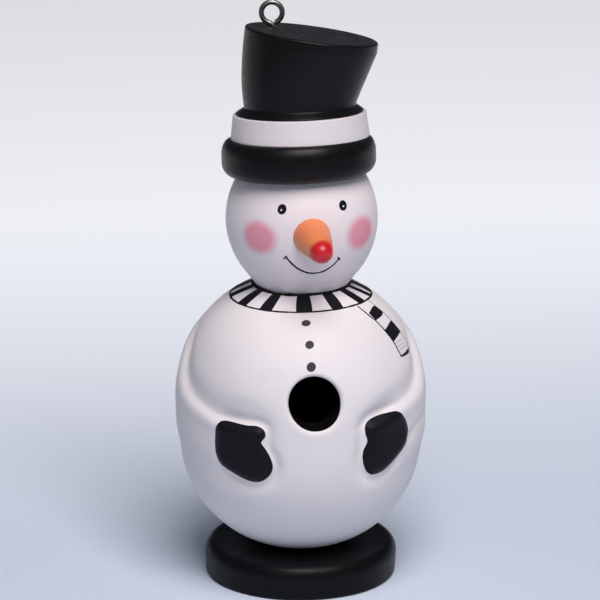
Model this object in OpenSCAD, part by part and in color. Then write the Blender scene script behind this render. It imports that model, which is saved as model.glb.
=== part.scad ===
// Hand-carved wooden bird house in the shape of a snowman.
// The figure stands on a turned plug, which swivels on one screw in a round base.
// It lifts off the plug, so that the hollow body can be cleaned out.
// Millimetres. +Z is up, the entrance hole faces -Y, and the origin is
// the centre of the base's underside.

/* [Base] */
// Diameter of the base disc
base_d = 111.6; // [108:0.2:130]
// Thickness of the base disc
base_h = 20; // [18:0.5:22]
// Radius of the base's rounded top edge
base_top_round = 7; // [3:0.5:9]
// Radius of the base's rounded bottom edge
base_foot_round = 2; // [1:0.5:4]

/* [Body] */
// Largest diameter of the round body
body_d = 142; // [138:1:150]
// Half height of the full body shape
body_rise = 81; // [80:0.5:82]
// Height of the body's widest line
body_z = 97.8; // [97:0.2:98.6]
// Fullness of the body: 2 is an ellipse, more is squarer
body_fullness = 2.5; // [2.3:0.1:2.6]
// Thickness of the wooden wall
wall = 13; // [11:0.5:14]
// Diameter of the entrance hole
entrance_d = 28.6; // [25:0.1:32]
// Height of the entrance hole's centre
entrance_z = 121.8; // [118:0.2:126]
// Diameter of the clean-out opening in the bottom
opening_d = 38; // [34:1:40]

/* [Arms] */
// How far the carved arms and hands stand out
relief = 1.6; // [0.6:0.1:2]
// Angle of each hand from the front
hand_angle = 37; // [30:1:45]
// Height of the hands' centre
hand_z = 92; // [88:1:96]
// Height of the elbows
elbow_z = 114; // [108:1:120]

/* [Head] */
// Diameter of the head
head_d = 86.6; // [82:0.2:90]
// Half height of the full head shape
head_rise = 46; // [44:0.5:48]
// Height of the head's widest line
head_z = 212; // [210:0.5:214]
// Radius of the neck joint
neck_r = 26.8; // [25:0.2:28]
// Height of the neck joint
neck_z = 174; // [172:0.5:175]
// How far the face is turned towards +X, in degrees
head_turn = 3.6; // [0:0.2:8]
// Length of the carrot nose from the face to the middle of its round tip
nose_len = 19.5; // [16:0.5:28]
// Radius of the nose's round tip
nose_tip_r = 6.2; // [4:0.1:7]
// Radius of the nose where it leaves the face
nose_root_r = 10.5; // [8:0.1:11]

/* [Hat] */
// Diameter of the brim
brim_d = 87.8; // [84:0.2:92]
// Thickness of the brim
brim_h = 21.4; // [18:0.2:24]
// Radius of the brim's rounded edges
brim_round = 6; // [4:0.5:8]
// Diameter of the hat band at its bottom
band_d = 79; // [76:0.2:81]
// Diameter of the hat band at its top
band_top_d = 76; // [72:0.2:78]
// Height of the hat band
band_h = 13.9; // [10:0.1:16]
// Radius of the crown where it starts
crown_r = 31.8; // [29:0.2:34]
// Radius of the crown's slanted top
crown_top_r = 38; // [34:0.2:40]
// Height of the middle of the crown's top above the underside of the brim
crown_top_z = 79.6; // [74:0.2:84]
// How far the crown's top is shifted towards +X
crown_shift = 9.6; // [4:0.2:12]
// Slant of the crown's top towards +X, in degrees
crown_slant = 9.4; // [4:0.1:12]
// How far the hat leans back, in degrees
hat_lean = 5.1; // [2:0.1:6]

/* [Screw eye] */
// Thickness of the wire
eye_wire_d = 3; // [2:0.1:3.4]
// Inner diameter of the ring
eye_inner_d = 8.8; // [8:0.2:11]

/* [Hidden] */
$fn = 64;

black_paint = [0.05, 0.05, 0.06];
white_paint = [0.93, 0.91, 0.92];
orange_paint = [0.93, 0.45, 0.16];
bare_wood = [0.80, 0.66, 0.46];
dull_steel = [0.45, 0.44, 0.43];

// Clearances
free_gap = 0.3;
fit_gap = 0.08;
hinge_gap = 0.06;

// Base and pivot
base_taper = 0.6;
screw_r = 2.5;
screw_head_r = 4.8;
screw_head_h = 2.8;
screw_tip_z = base_h + 14;
screw_tip_r = 0.4;
slot_w = 1.2;
slot_depth = 1.2;
washer_r = 7;
washer_h = 1.2;
recess_r = 8;
recess_h = 6;
screw_head_z = recess_h - washer_h - free_gap - screw_head_h;
plug_r = opening_d / 2 - fit_gap;
plug_h = 17;
plug_chamfer = 1.5;

// Body
body_r = body_d / 2;
body_foot_z = base_h + free_gap;
cavity_r = body_r - wall;
cavity_z = body_z - 0.8;
cavity_rise = 62;
rim_round = 2.4;
seam_dowel_r = 3;
seam_dowel_len = 20;
seam_dowel_rise = 33;
seam_dowel_x = 58.8;

// Arms: gentle bulges cut from larger circles
arm_section_r = 20;
hand_section_r = 40;
elbow_angle = 97;

// Head, nose and dowels
head_r = head_d / 2;
head_side = 0.6;
chin_z = 181;
nose_side = -1.2;
nose_turn = 5.2;
nose_droop = 8.7;
nose_z = 211;
nose_peg_r = 4;
nose_peg_len = 18;
nose_root_depth = 3;
dowel_r = 6;
neck_dowel_from = 162;
neck_dowel_to = 194;

// Hat, in its own leaning frame with the brim's underside at height 0
hat_origin = [-0.8, -1, 237.2];
hat_side_lean = -1.3;
ledge_h = 4;
ledge_r = band_top_d / 2 - 1.6;
band_side = 1.2;
crown_foot_z = brim_h + band_h + ledge_h;
crown_foot_side = 1.5;
crown_top_thick = 6;
crown_forward_slant = 1.4;
hat_dowel_from = -20;
hat_dowel_to = 52;

// Screw eye, in the hat's frame
eye_pos = [-11.5, 11.4];
eye_face_z = crown_top_z - (eye_pos.x - crown_shift) * tan(crown_slant)
             + eye_pos.y * tan(crown_forward_slant);
eye_wire_r = eye_wire_d / 2;
eye_ring_r = eye_inner_d / 2 + eye_wire_r;
eye_lift = 0.5;
eye_ring_z = eye_face_z + eye_lift + eye_ring_r + eye_wire_r;
eye_turn = -6.5;
eye_gap_angle = 16;
eye_shank_len = 24;
eye_tip_len = 4;
eye_tip_r = 0.3;

// Radius of a rounded shape of revolution at height z
function round_r(r, rise, middle, fullness, z) = r * sqrt(1 - pow(abs(z - middle) / rise, fullness));
function body_radius(z) = round_r(body_r, body_rise, body_z, body_fullness, z);
function head_radius(z) = round_r(head_r, head_rise, head_z, 2, z);

// Points of a round stretch of an outline
function arc(x, y, r, from, to, steps) =
    [for (i = [0:steps]) let (a = from + (to - from) * i / steps) [x + r * cos(a), y + r * sin(a)]];

// Solid of revolution between two heights, with its side given by radii(z)
function side_points(radii, from, to, steps) =
    [for (i = [0:steps]) let (z = from + (to - from) * i / steps) [radii(z), z]];

module turned_side(radii, from, to, steps) {
    rotate_extrude()
        polygon(concat([[0, from]], side_points(radii, from, to, steps), [[0, to]]));
}

// Disc with a rounded edge at the top and at the foot
module rounded_disc(r, h, top_round, foot_round, taper) {
    rotate_extrude()
        polygon(concat(
            [[0, 0]],
            arc(r - taper - foot_round, foot_round, foot_round, -90, 0, 4),
            arc(r - top_round, h - top_round, top_round, 0, 90, 8),
            [[0, h]]));
}

// Moves children from the hat's own frame to where the hat leans
module in_hat_frame() {
    translate(hat_origin) rotate([-hat_lean, hat_side_lean, 0]) children();
}

// Points children that run along +Z out of the face, along the nose
module along_nose() {
    rotate([0, 0, head_turn + nose_side])
        translate([0, -(head_radius(nose_z) - nose_root_depth), nose_z])
            rotate([90 + nose_droop, 0, nose_turn])
                children();
}

module base_disc() {
    color(black_paint)
    difference() {
        rounded_disc(base_d / 2, base_h, base_top_round, base_foot_round, base_taper);
        translate([0, 0, -1]) cylinder(r = screw_r + hinge_gap, h = base_h + 2);
        translate([0, 0, -1]) cylinder(r = recess_r, h = recess_h + 1);
    }
}

module pivot_washer() {
    color(dull_steel)
    translate([0, 0, recess_h - washer_h])
        difference() {
            cylinder(r = washer_r, h = washer_h);
            translate([0, 0, -1]) cylinder(r = screw_r + 2 * free_gap, h = washer_h + 2);
        }
}

// The screw's shank, from the top of its head to its pointed tip
module screw_shank() {
    foot_z = screw_head_z + screw_head_h;
    point_z = screw_tip_z - screw_r;
    translate([0, 0, foot_z]) cylinder(r = screw_r, h = point_z - foot_z);
    translate([0, 0, point_z]) cylinder(r1 = screw_r, r2 = screw_tip_r, h = screw_r);
}

module pivot_screw() {
    color(dull_steel) {
        screw_shank();
        difference() {
            translate([0, 0, screw_head_z]) cylinder(r = screw_head_r, h = screw_head_h);
            translate([0, 0, screw_head_z]) cube([3 * screw_head_r, slot_w, 2 * slot_depth], center = true);
        }
    }
}

module bottom_plug() {
    color(bare_wood)
    difference() {
        union() {
            translate([0, 0, body_foot_z]) cylinder(r = plug_r, h = plug_h - plug_chamfer);
            translate([0, 0, body_foot_z + plug_h - plug_chamfer])
                cylinder(r1 = plug_r, r2 = plug_r - plug_chamfer, h = plug_chamfer);
        }
        screw_shank();
    }
}

// One forearm: an arc of a ring about the body's centre, from the elbow to the hand
module forearm() {
    middle_angle = (elbow_angle + hand_angle) / 2;
    half_span = (elbow_angle - hand_angle) / 2;
    tilt = asin((elbow_z - hand_z) / 2 / (body_r * sin(half_span)));
    translate([0, 0, (elbow_z + hand_z) / 2])
        rotate([0, 0, middle_angle - 90])
            rotate([tilt, 0, 0])
                rotate([0, 0, -half_span])
                    rotate_extrude(angle = 2 * half_span)
                        translate([body_r + relief - arm_section_r, 0]) circle(r = arm_section_r);
}

// One hand: a wide low swelling at the forearm's end
module hand() {
    reach = body_r + relief - hand_section_r;
    translate([reach * sin(hand_angle), -reach * cos(hand_angle), hand_z]) sphere(r = hand_section_r);
}

module carved_arms() {
    for (side = [0, 1])
        mirror([side, 0, 0]) {
            forearm();
            hand();
        }
}

module cavity() {
    radii = function(z) round_r(cavity_r, cavity_rise, cavity_z, 2.2, z);
    edge = cavity_rise - 1;
    turned_side(radii, cavity_z - edge, cavity_z + edge, 20);
}

module seam_dowel_places() {
    for (side = [-1, 1], level = [-1, 1])
        translate([side * seam_dowel_x, 0, body_z + level * seam_dowel_rise])
            rotate([90, 0, 0]) cylinder(r = seam_dowel_r, h = seam_dowel_len, center = true);
}

module neck_dowel_shape() {
    translate([0, 0, neck_dowel_from]) cylinder(r = dowel_r, h = neck_dowel_to - neck_dowel_from);
}

// Everything cut out of the body's two halves
module body_hollows() {
    cavity();
    cylinder(r = opening_d / 2, h = cavity_z);
    neck_dowel_shape();
    seam_dowel_places();
}

module body_shape() {
    turned_side(function(z) body_radius(z), body_foot_z, neck_z, 30);
    carved_arms();
}

module half_space(side) {
    translate([-body_d, side > 0 ? 0 : -2 * body_d, 0]) cube([2 * body_d, 2 * body_d, 2 * body_d]);
}

module body_front() {
    front_y = -sqrt(pow(body_radius(entrance_z), 2) - pow(entrance_d / 2, 2));
    rim_h = 2 * rim_round + 2;
    color(white_paint)
    difference() {
        intersection() {
            body_shape();
            half_space(-1);
        }
        body_hollows();
        translate([0, 0, entrance_z]) rotate([90, 0, 0]) {
            cylinder(r = entrance_d / 2, h = body_d);
            translate([0, 0, -front_y - rim_round])
                cylinder(r1 = entrance_d / 2, r2 = entrance_d / 2 + rim_h, h = rim_h);
        }
    }
}

module body_back() {
    color(white_paint)
    difference() {
        intersection() {
            body_shape();
            half_space(1);
        }
        body_hollows();
    }
}

module body_dowels() {
    color(bare_wood) seam_dowel_places();
}

module neck_dowel() {
    color(bare_wood) neck_dowel_shape();
}

// The head, cut off at the top by the leaning hat
module head() {
    uncut_above_hat = 5;
    top = hat_origin.z + uncut_above_hat;
    color(white_paint)
    difference() {
        translate([head_side, 0, 0])
            rotate_extrude()
                polygon(concat(
                    [[0, neck_z], [neck_r, neck_z]],
                    side_points(function(z) head_radius(z), chin_z, top, 22),
                    [[0, top]]));
        neck_dowel_shape();
        in_hat_frame() {
            translate([0, 0, head_r]) cube(2 * head_r, center = true);
            hat_dowel_shape();
        }
        along_nose() nose_shape();
    }
}

// The carrot and its peg, along +Z from a little inside the face
module nose_shape() {
    translate([0, 0, -nose_peg_len]) cylinder(r = nose_peg_r, h = nose_peg_len + 1);
    slope = asin((nose_root_r - nose_tip_r) / nose_len);
    tip_z = nose_len + nose_root_depth;
    rotate_extrude()
        polygon(concat(
            [[0, 0], [nose_root_r + nose_root_depth * tan(slope), 0]],
            arc(0, tip_z, nose_tip_r, slope, 90, 8)));
}

module nose() {
    color(orange_paint) along_nose() nose_shape();
}

module hat_dowel_shape() {
    translate([0, 0, hat_dowel_from]) cylinder(r = dowel_r, h = hat_dowel_to - hat_dowel_from);
}

module hat_brim() {
    color(black_paint)
    in_hat_frame()
        difference() {
            rounded_disc(brim_d / 2, brim_h, brim_round, brim_round, 0);
            hat_dowel_shape();
        }
}

module hat_band() {
    color(white_paint)
    in_hat_frame()
        difference() {
            translate([band_side, 0, brim_h]) cylinder(r1 = band_d / 2, r2 = band_top_d / 2, h = band_h);
            hat_dowel_shape();
        }
}

module hat_crown() {
    color(black_paint)
    in_hat_frame()
        difference() {
            union() {
                translate([band_side, 0, brim_h + band_h])
                    cylinder(r1 = ledge_r, r2 = crown_r, h = ledge_h);
                hull() {
                    translate([crown_foot_side, 0, crown_foot_z]) cylinder(r = crown_r, h = 1);
                    translate([crown_shift, 0, crown_top_z])
                        rotate([crown_forward_slant, crown_slant, 0])
                            translate([0, 0, -crown_top_thick]) cylinder(r = crown_top_r, h = crown_top_thick);
                }
            }
            hat_dowel_shape();
            screw_eye_shank();
        }
}

module hat_dowel() {
    color(bare_wood) in_hat_frame() hat_dowel_shape();
}

// The shank, from its pointed tip up to the ring
module screw_eye_shank() {
    foot_z = eye_ring_z - eye_ring_r - eye_shank_len;
    translate([eye_pos.x, eye_pos.y, foot_z]) {
        cylinder(r1 = eye_tip_r, r2 = eye_wire_r, h = eye_tip_len);
        translate([0, 0, eye_tip_len]) cylinder(r = eye_wire_r, h = eye_shank_len - eye_tip_len);
    }
}

module screw_eye() {
    color(dull_steel)
    in_hat_frame() {
        screw_eye_shank();
        translate([eye_pos.x, eye_pos.y, eye_ring_z])
            rotate([90, 0, eye_turn])
                rotate([0, 0, eye_gap_angle - 90])
                    rotate_extrude(angle = 360 - eye_gap_angle)
                        translate([eye_ring_r, 0]) circle(r = eye_wire_r);
    }
}

base_disc();
pivot_washer();
pivot_screw();
bottom_plug();
body_front();
body_back();
body_dowels();
neck_dowel();
head();
nose();
hat_brim();
hat_band();
hat_crown();
hat_dowel();
screw_eye();
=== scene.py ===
"""Looks of the wooden snowman birdhouse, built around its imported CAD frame.

Sizes here are millimetres in the CAD model's own frame, and become metres when a mesh is made.
A place on the body or the head is given as (angle, height): the angle in degrees from the front
(-Y), growing towards +X, and the height in millimetres.
"""
import math

import bmesh
import bpy
import numpy as np
from mathutils import Matrix, Vector, noise
from mathutils.geometry import delaunay_2d_cdt


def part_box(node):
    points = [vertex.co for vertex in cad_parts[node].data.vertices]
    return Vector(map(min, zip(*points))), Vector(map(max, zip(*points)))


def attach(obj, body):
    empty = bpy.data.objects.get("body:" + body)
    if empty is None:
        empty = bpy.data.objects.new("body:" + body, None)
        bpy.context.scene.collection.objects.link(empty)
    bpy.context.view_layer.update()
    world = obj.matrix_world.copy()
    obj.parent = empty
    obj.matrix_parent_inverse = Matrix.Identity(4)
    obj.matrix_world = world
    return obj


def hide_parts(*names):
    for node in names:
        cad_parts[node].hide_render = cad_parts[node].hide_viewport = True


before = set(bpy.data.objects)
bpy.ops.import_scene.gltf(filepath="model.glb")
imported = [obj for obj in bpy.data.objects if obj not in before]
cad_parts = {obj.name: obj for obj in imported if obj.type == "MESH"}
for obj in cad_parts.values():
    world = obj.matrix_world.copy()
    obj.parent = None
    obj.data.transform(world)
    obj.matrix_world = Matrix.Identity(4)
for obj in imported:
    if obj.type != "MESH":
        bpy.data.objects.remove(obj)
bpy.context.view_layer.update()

MM = 0.001


def spin(degrees, axis):
    """A turn about an axis."""
    return Matrix.Rotation(math.radians(degrees), 4, axis)


# Base, from the frame and the CAD model's roundings
BASE_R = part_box("base_disc")[1].x / MM
BASE_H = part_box("base_disc")[1].z / MM
BASE_TAPER = 0.6
PIVOT_R = 2.56
RECESS_R = 8
RECESS_H = 6

# Body
SKIN = 0.12            # how far the painted, sanded surface lies inside the CAD model's surface
SET_IN = 0.1           # how much further in it lies, as its unevenness goes both ways
BODY_R = 71 - SKIN
BODY_RISE = 81
BODY_Z = 97.8
BODY_FULLNESS = 2.5
BODY_FOOT_Z = 20.3
NECK_Z = 174
NECK_R = 26.8
SIDE_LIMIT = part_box("body_front")[1].x / MM - 0.08
CAVITY_R = 58
CAVITY_RISE = 62
CAVITY_Z = 97
CAVITY_FULLNESS = 2.2
HOLE_R = 14.3
HOLE_Z = 121.8
HOLE_RIM = 3.2         # how far the hole's carved rounding reaches, at its top and left
HOLE_RIM_MORE = 2      # and how much further at its lower right
OPENING_R = 19

# Head
HEAD_R = 43.3
HEAD_SIDE = 0.6        # how far the head sits off the neck's middle
HEAD_RISE = 46
HEAD_Z = 212
CHIN_Z = 181
DOWEL_R = 6

# Hat, in its own leaning frame
HAT_FRAME = Matrix.Translation((-0.8, -1, 237.2)) @ spin(-1.3, "Y") @ spin(-5.1, "X")
BRIM_R = 43.9
BRIM_H = 21.4
BAND_R = 39.5
BAND_TOP_R = 38
BAND_H = 13.9
BAND_SIDE = 1.2        # how far the band and the ledge sit off the hat's middle
LEDGE_R = 36.4
LEDGE_H = 4
CROWN_R = 31.8
CROWN_FOOT_SIDE = 1.5
CROWN_TOP_R = 38
CROWN_TOP_THICK = 6
CROWN_TOP_FRAME = Matrix.Translation((9.6, 0, 79.6)) @ spin(9.4, "Y") @ spin(1.4, "X")

# Carrot nose, along +Z of its own frame
NOSE_FRAME = spin(2.4, "Z") @ Matrix.Translation((0, -40.3, 211)) @ spin(5.2, "Z") @ spin(98.7, "X")
NOSE_ROOT_R = 10.9
NOSE_TIP_R = 6.2
NOSE_TIP_Z = 22.5
NOSE_PEG_R = 4
NOSE_PEG_LEN = 18

# Screw eye, in the hat's frame
EYE_FRAME = HAT_FRAME @ Matrix.Translation((-11.5, 11.4, 91.27)) @ spin(-6.5, "Z")
WIRE_R = 1.5
RING_R = 5.9
SHANK_LEN = 23

# Paint: how far it stands on the wood, and how far its shells reach into it
PAINT_PROUD = 0.11
PAINT_DEPTH = 0.35


# ---------------- geometry helpers

def round_radius(z, radius, rise, middle, fullness):
    """Radius at height z of a rounded shape of revolution."""
    return radius * np.sqrt(np.clip(1 - (np.abs(z - middle) / rise) ** fullness, 0, None))


def smoothstep(low, high, x):
    """0 at low, 1 at high and soft between; low may be the larger."""
    t = np.clip((x - low) / (high - low), 0, 1)
    return t * t * (3 - 2 * t)


def bell(x, width, at=0):
    """1 where x is at the place, and soft to about 0 at twice the width from there."""
    return np.exp(-((x - at) / width) ** 2)


def farthest(low, high, is_short, steps):
    """Where is_short turns false between low and high, for arrays, by halving."""
    for _ in range(steps):
        middle = (low + high) / 2
        short = is_short(middle)
        low, high = np.where(short, middle, low), np.where(short, high, middle)
    return low


def moved(points, matrix):
    """Points taken through a 4x4 matrix."""
    m = np.array(matrix)
    return points @ m[:3, :3].T + m[:3, 3]


def unevenness(points, size, amount):
    """Slow hand-made unevenness at each point, from -amount to amount."""
    values = [noise.noise(Vector(p) / size) for p in points.reshape(-1, 3)]
    return amount * np.array(values).reshape(points.shape[:-1])


def smooth_line(points, steps, closed):
    """A smooth line through listed points."""
    points = np.array(points, float)
    if closed:
        padded = np.vstack([points[-1:], points, points[:2]])
    else:
        padded = np.vstack([2 * points[:1] - points[1:2], points, 2 * points[-1:] - points[-2:-1]])
    t = np.linspace(0, 1, steps, endpoint=False)[:, None]
    pieces = []
    for a, b, c, d in zip(padded, padded[1:], padded[2:], padded[3:]):
        pieces.append(0.5 * (2 * b + (c - a) * t + (2 * a - 5 * b + 4 * c - d) * t**2
                             + (3 * b - a - 3 * c + d) * t**3))
    if not closed:
        pieces.append(points[-1:])
    return np.vstack(pieces)


def line_distance(flat, line, closed=False):
    """Distance of flat points from a line, positive on the line's right."""
    ends = np.roll(line, -1, 0) if closed else line[1:]
    starts = line if closed else line[:-1]
    best = np.full(len(flat), np.inf)
    side = np.ones(len(flat))
    for a, b in zip(starts, ends):
        along = b - a
        offset = flat - a
        t = np.clip(offset @ along / (along @ along), 0, 1)
        away = np.hypot(*(offset - t[:, None] * along).T)
        nearer = away < best
        best[nearer] = away[nearer]
        side[nearer] = np.sign(along[1] * offset[nearer, 0] - along[0] * offset[nearer, 1])
    return best * side


def flat_place(theta, z, radius):
    """Angle and height as flat millimetres."""
    return np.column_stack([np.radians(theta) * radius, z])


def around(theta, r, z):
    """Points at angles theta, radii r and heights z."""
    theta = np.radians(theta)
    return np.stack(np.broadcast_arrays(r * np.sin(theta), -r * np.cos(theta), z), -1)


def loft(rings, closed=False):
    """Points and faces that join rings of equally many points, each ring closed on itself."""
    rings = np.array(rings)
    index = np.arange(rings.shape[0] * rings.shape[1]).reshape(rings.shape[:2])
    index = np.hstack([index, index[:, :1]])
    if closed:
        index = np.vstack([index, index[:1]])
    faces = np.stack([index[:-1, :-1], index[:-1, 1:], index[1:, 1:], index[1:, :-1]], -1)
    return rings.reshape(-1, 3), faces.reshape(-1, 4)


def corner(inner, outer, start, end, steps):
    """An elliptic corner of an outline, from start to end degrees around inner and reaching to outer."""
    a = np.radians(np.linspace(start, end, steps + 1))
    size = np.abs(np.subtract(outer, inner))
    return [(inner[0] + size[0] * math.cos(t), inner[1] + size[1] * math.sin(t)) for t in a]


def straight(start, end, steps):
    """Evenly spaced points between start and end, without the two."""
    return [tuple(np.add(start, np.subtract(end, start) * k / steps)) for k in range(1, steps)]


def all_round(columns):
    """Evenly spaced angles all the way round."""
    return np.linspace(-180, 180, columns, endpoint=False)


def turned(outline, columns):
    """Rings of a turned shape, one for each (radius, height) of its outline."""
    theta = all_round(columns)
    return np.array([around(theta, r, z) for r, z in outline])


def moved_shape(shape, matrix):
    """Points and faces taken through a 4x4 matrix."""
    return moved(shape[0], matrix), shape[1]


def linked(name, data):
    """A new object in the scene."""
    made = bpy.data.objects.new(name, data)
    bpy.context.scene.collection.objects.link(made)
    return made


def make_piece(name, shape, material, replaced=(), body="figure", sharp=35, inside=None):
    """A closed mesh piece that rides on a body. inside is (which faces are inside, their material)."""
    weld_distance, thinnest = 1e-6, 1e-7
    points, faces = shape
    mesh = bpy.data.meshes.new(name)
    mesh.from_pydata((np.asarray(points) * MM).tolist(), [], [list(f) for f in faces])
    mesh.materials.append(material)
    if inside is not None:
        mesh.materials.append(inside[1])
        mesh.polygons.foreach_set("material_index", inside[0].astype(np.int32))
    shell = bmesh.new()
    shell.from_mesh(mesh)
    bmesh.ops.remove_doubles(shell, verts=shell.verts, dist=weld_distance)
    bmesh.ops.dissolve_degenerate(shell, dist=thinnest, edges=shell.edges)
    bmesh.ops.recalc_face_normals(shell, faces=shell.faces)
    shell.to_mesh(mesh)
    shell.free()
    mesh.shade_smooth()
    mesh.set_sharp_from_angle(angle=math.radians(sharp))
    piece = linked(name, mesh)
    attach(piece, body)
    if replaced:
        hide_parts(*replaced)
    return piece


def joined(shapes):
    """Several shapes as one list of points and faces."""
    points, faces, count = [], [], 0
    for p, f in shapes:
        points.append(np.asarray(p))
        faces.extend([[i + count for i in face] for face in f])
        count += len(p)
    return np.vstack(points), faces


# ---------------- the carved body's surface

# Each arm: the groove along its inner edge, its lower edge, the outline of its mitten with the notch by its
# thumb, the edge of the ground that is cut lower around the hand, and the sleeve's creases
ARMS = {
    "left": {
        "side": -1,
        "groove": [(-112, 158), (-103, 154), (-95, 146), (-87, 133), (-81, 126), (-73, 120), (-64, 116),
                   (-55, 112.8), (-47, 110.4), (-40, 109.8), (-32, 110.5), (-22, 110), (-12, 106)],
        "lower": [(-125, 89.5), (-108, 88), (-90, 86), (-70, 84.5), (-55, 81), (-44, 74), (-34, 69)],
        "mitten": [(-47.6, 105.8), (-45.2, 107.6), (-39.5, 107.6), (-32.5, 107.4), (-27, 107.7), (-23.8, 106),
                   (-23, 102.5), (-24.8, 98.8), (-23, 95), (-20.5, 89.5), (-19.6, 84.5), (-21, 79.8),
                   (-24.3, 76), (-28, 74.4), (-33, 74.8), (-40.5, 77.8), (-46.5, 81.4), (-49, 86.8),
                   (-49.6, 93.5), (-49, 101)],
        "notch": (-24.8, 98.8),
        "halo": [(-60, 125), (-43, 124), (-34, 123), (-27, 121), (-20, 116), (-16, 109), (-14.5, 98),
                 (-14.5, 86), (-18, 74), (-28, 67), (-42, 66), (-60, 66)],
        "creases": [],
    },
    "right": {
        "side": 1,
        "groove": [(112, 162), (104, 160), (96, 155), (88, 148), (82, 141), (77, 134), (72, 127.5),
                   (65.5, 121.5), (57.5, 117.5), (48, 114.8), (38, 112.5), (28, 109), (14, 105)],
        "lower": [(125, 89.5), (108, 88), (90, 86), (72, 82), (58, 76), (46, 71), (34, 70)],
        "mitten": [(45, 109.8), (49, 105.5), (51.8, 100), (52.6, 94), (50.4, 88.4), (46, 83.7), (41.8, 79.8),
                   (36.5, 76.7), (30.5, 75.9), (27, 78), (24.8, 82.2), (23.7, 87.5), (24.2, 92.4), (25.8, 97),
                   (24.9, 102), (25.3, 106.2), (28, 108.8), (32.5, 109.9), (38.5, 110.3)],
        "notch": (25.8, 97),
        "halo": [(60, 128), (46, 124.5), (34, 121), (24, 117), (19, 110), (17, 100), (17, 88), (20, 76),
                 (28, 69), (40, 67), (60, 67)],
        "creases": [[(80, 104), (74, 100), (66, 97.5), (60, 96), (54.5, 92)]],
    },
}
CARVED_ANGLE = 125     # the arms' carving ends before this angle
CARVED_OVER_FRONT = 4  # and this far past the front, on the other arm's side
CARVED_LOW_Z = 45
CARVED_TOP_Z = 172
GROOVE_DEPTH = 2.5
RIDGE_HEIGHT = 0.9
ARM_HEIGHT = 1.2
ELBOW_HEIGHT = 0.55
ELBOW_Z = 113
UNDER_ARM_DEPTH = 0.6
CREASE_DEPTH = 0.7
MITTEN_HEIGHT = 1.4
MOAT_DEPTH = 1.5
HALO_DEPTH = 0.5


def arm_relief(theta, z, arm):
    """Height of one carved arm, its mitten and its grooves over the round body."""
    flat = flat_place(theta, z, BODY_R)
    angle, side = np.abs(theta), arm["side"]

    def placed(points, closed=False):
        line = smooth_line(points, 6, closed)
        return flat_place(line[:, 0], line[:, 1], BODY_R)

    # The groove, wide on the belly's side and narrow on the arm's, where distances are positive, and the
    # ridge that follows it
    groove = -side * line_distance(flat, placed(arm["groove"]))
    belly_width, arm_width = 9, 3.4
    forward = smoothstep(14, 40, angle) * smoothstep(156, 134, z)
    height = -GROOVE_DEPTH * forward * bell(groove, np.where(groove < 0, belly_width, arm_width))
    height += RIDGE_HEIGHT * forward * bell(groove, width=5, at=6)

    # The arm itself, between the groove and its lower edge, with the elbow at the side and a hollow below
    below = -side * line_distance(flat, placed(arm["lower"]))
    sideways = smoothstep(45, 75, angle)
    height += ARM_HEIGHT * sideways * smoothstep(2, 12, groove) * smoothstep(12, -6, below)
    height += ELBOW_HEIGHT * sideways * bell(z, width=11, at=ELBOW_Z)
    height -= UNDER_ARM_DEPTH * smoothstep(30, 46, angle) * bell(below, width=7, at=4)
    for crease in arm["creases"]:
        height -= CREASE_DEPTH * bell(line_distance(flat, placed(crease)), width=3.2)
    height *= 1 - smoothstep(98, 122, angle)

    # The hand stands on ground that is cut down around it, past the notch by its thumb
    mitten = -line_distance(flat, placed(arm["mitten"], True), True)
    without_notch = [place for place in arm["mitten"] if place != arm["notch"]]
    ground = -line_distance(flat, placed(without_notch, True), True)
    inner = 1 - smoothstep(40, 53, angle)
    height -= inner * MOAT_DEPTH * bell(ground, width=3.4, at=2.2)
    within = -side * line_distance(flat, placed(arm["halo"]))
    height -= inner * HALO_DEPTH * smoothstep(-3, 5, within)
    return height + MITTEN_HEIGHT * smoothstep(0.6, -4.5, mitten)


def relief(theta, z):
    """Height of everything carved on the body, in millimetres over the round shape."""
    flat_theta, flat_z = theta.ravel(), z.ravel()
    height = np.zeros(flat_theta.shape)
    in_reach = (np.abs(flat_theta) < CARVED_ANGLE) & (flat_z > CARVED_LOW_Z) & (flat_z < CARVED_TOP_Z)
    for arm in ARMS.values():
        carved = in_reach & (flat_theta * arm["side"] > -CARVED_OVER_FRONT)
        if carved.any():
            height[carved] += arm_relief(flat_theta[carved], flat_z[carved], arm)
    return height.reshape(theta.shape)


def body_surface(theta, z):
    """Points on the carved body."""
    theta, z = np.broadcast_arrays(np.asarray(theta, float), np.asarray(z, float))
    wrapped = (theta + 180) % 360 - 180
    r = round_radius(z, BODY_R, BODY_RISE, BODY_Z, BODY_FULLNESS) + relief(wrapped, z)
    points = around(theta, r, z)
    r = r + unevenness(points, 26, 0.16) + unevenness(points, 9, 0.035) - SET_IN
    points = around(theta, r, z)
    points[..., 0] = np.clip(points[..., 0], -SIDE_LIMIT, SIDE_LIMIT)
    points[..., 1] = np.clip(points[..., 1], -BODY_R, BODY_R)
    return points


def head_surface(theta, z):
    """Points on the head: an egg with a tapered chin."""
    theta, z = np.broadcast_arrays(np.asarray(theta, float), np.asarray(z, float))
    r = round_radius(z, HEAD_R, HEAD_RISE, HEAD_Z, 2)
    chin_r = round_radius(CHIN_Z, HEAD_R, HEAD_RISE, HEAD_Z, 2)
    cone = NECK_R + (chin_r - NECK_R) * (z - NECK_Z) / (CHIN_Z - NECK_Z)
    r = np.where(z < CHIN_Z, cone, r)
    points = around(theta, r, z)
    r = r + unevenness(points, 22, 0.16) + unevenness(points, 8, 0.03) - SET_IN
    return around(theta, r, z) + np.array([HEAD_SIDE, 0, 0])


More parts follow.
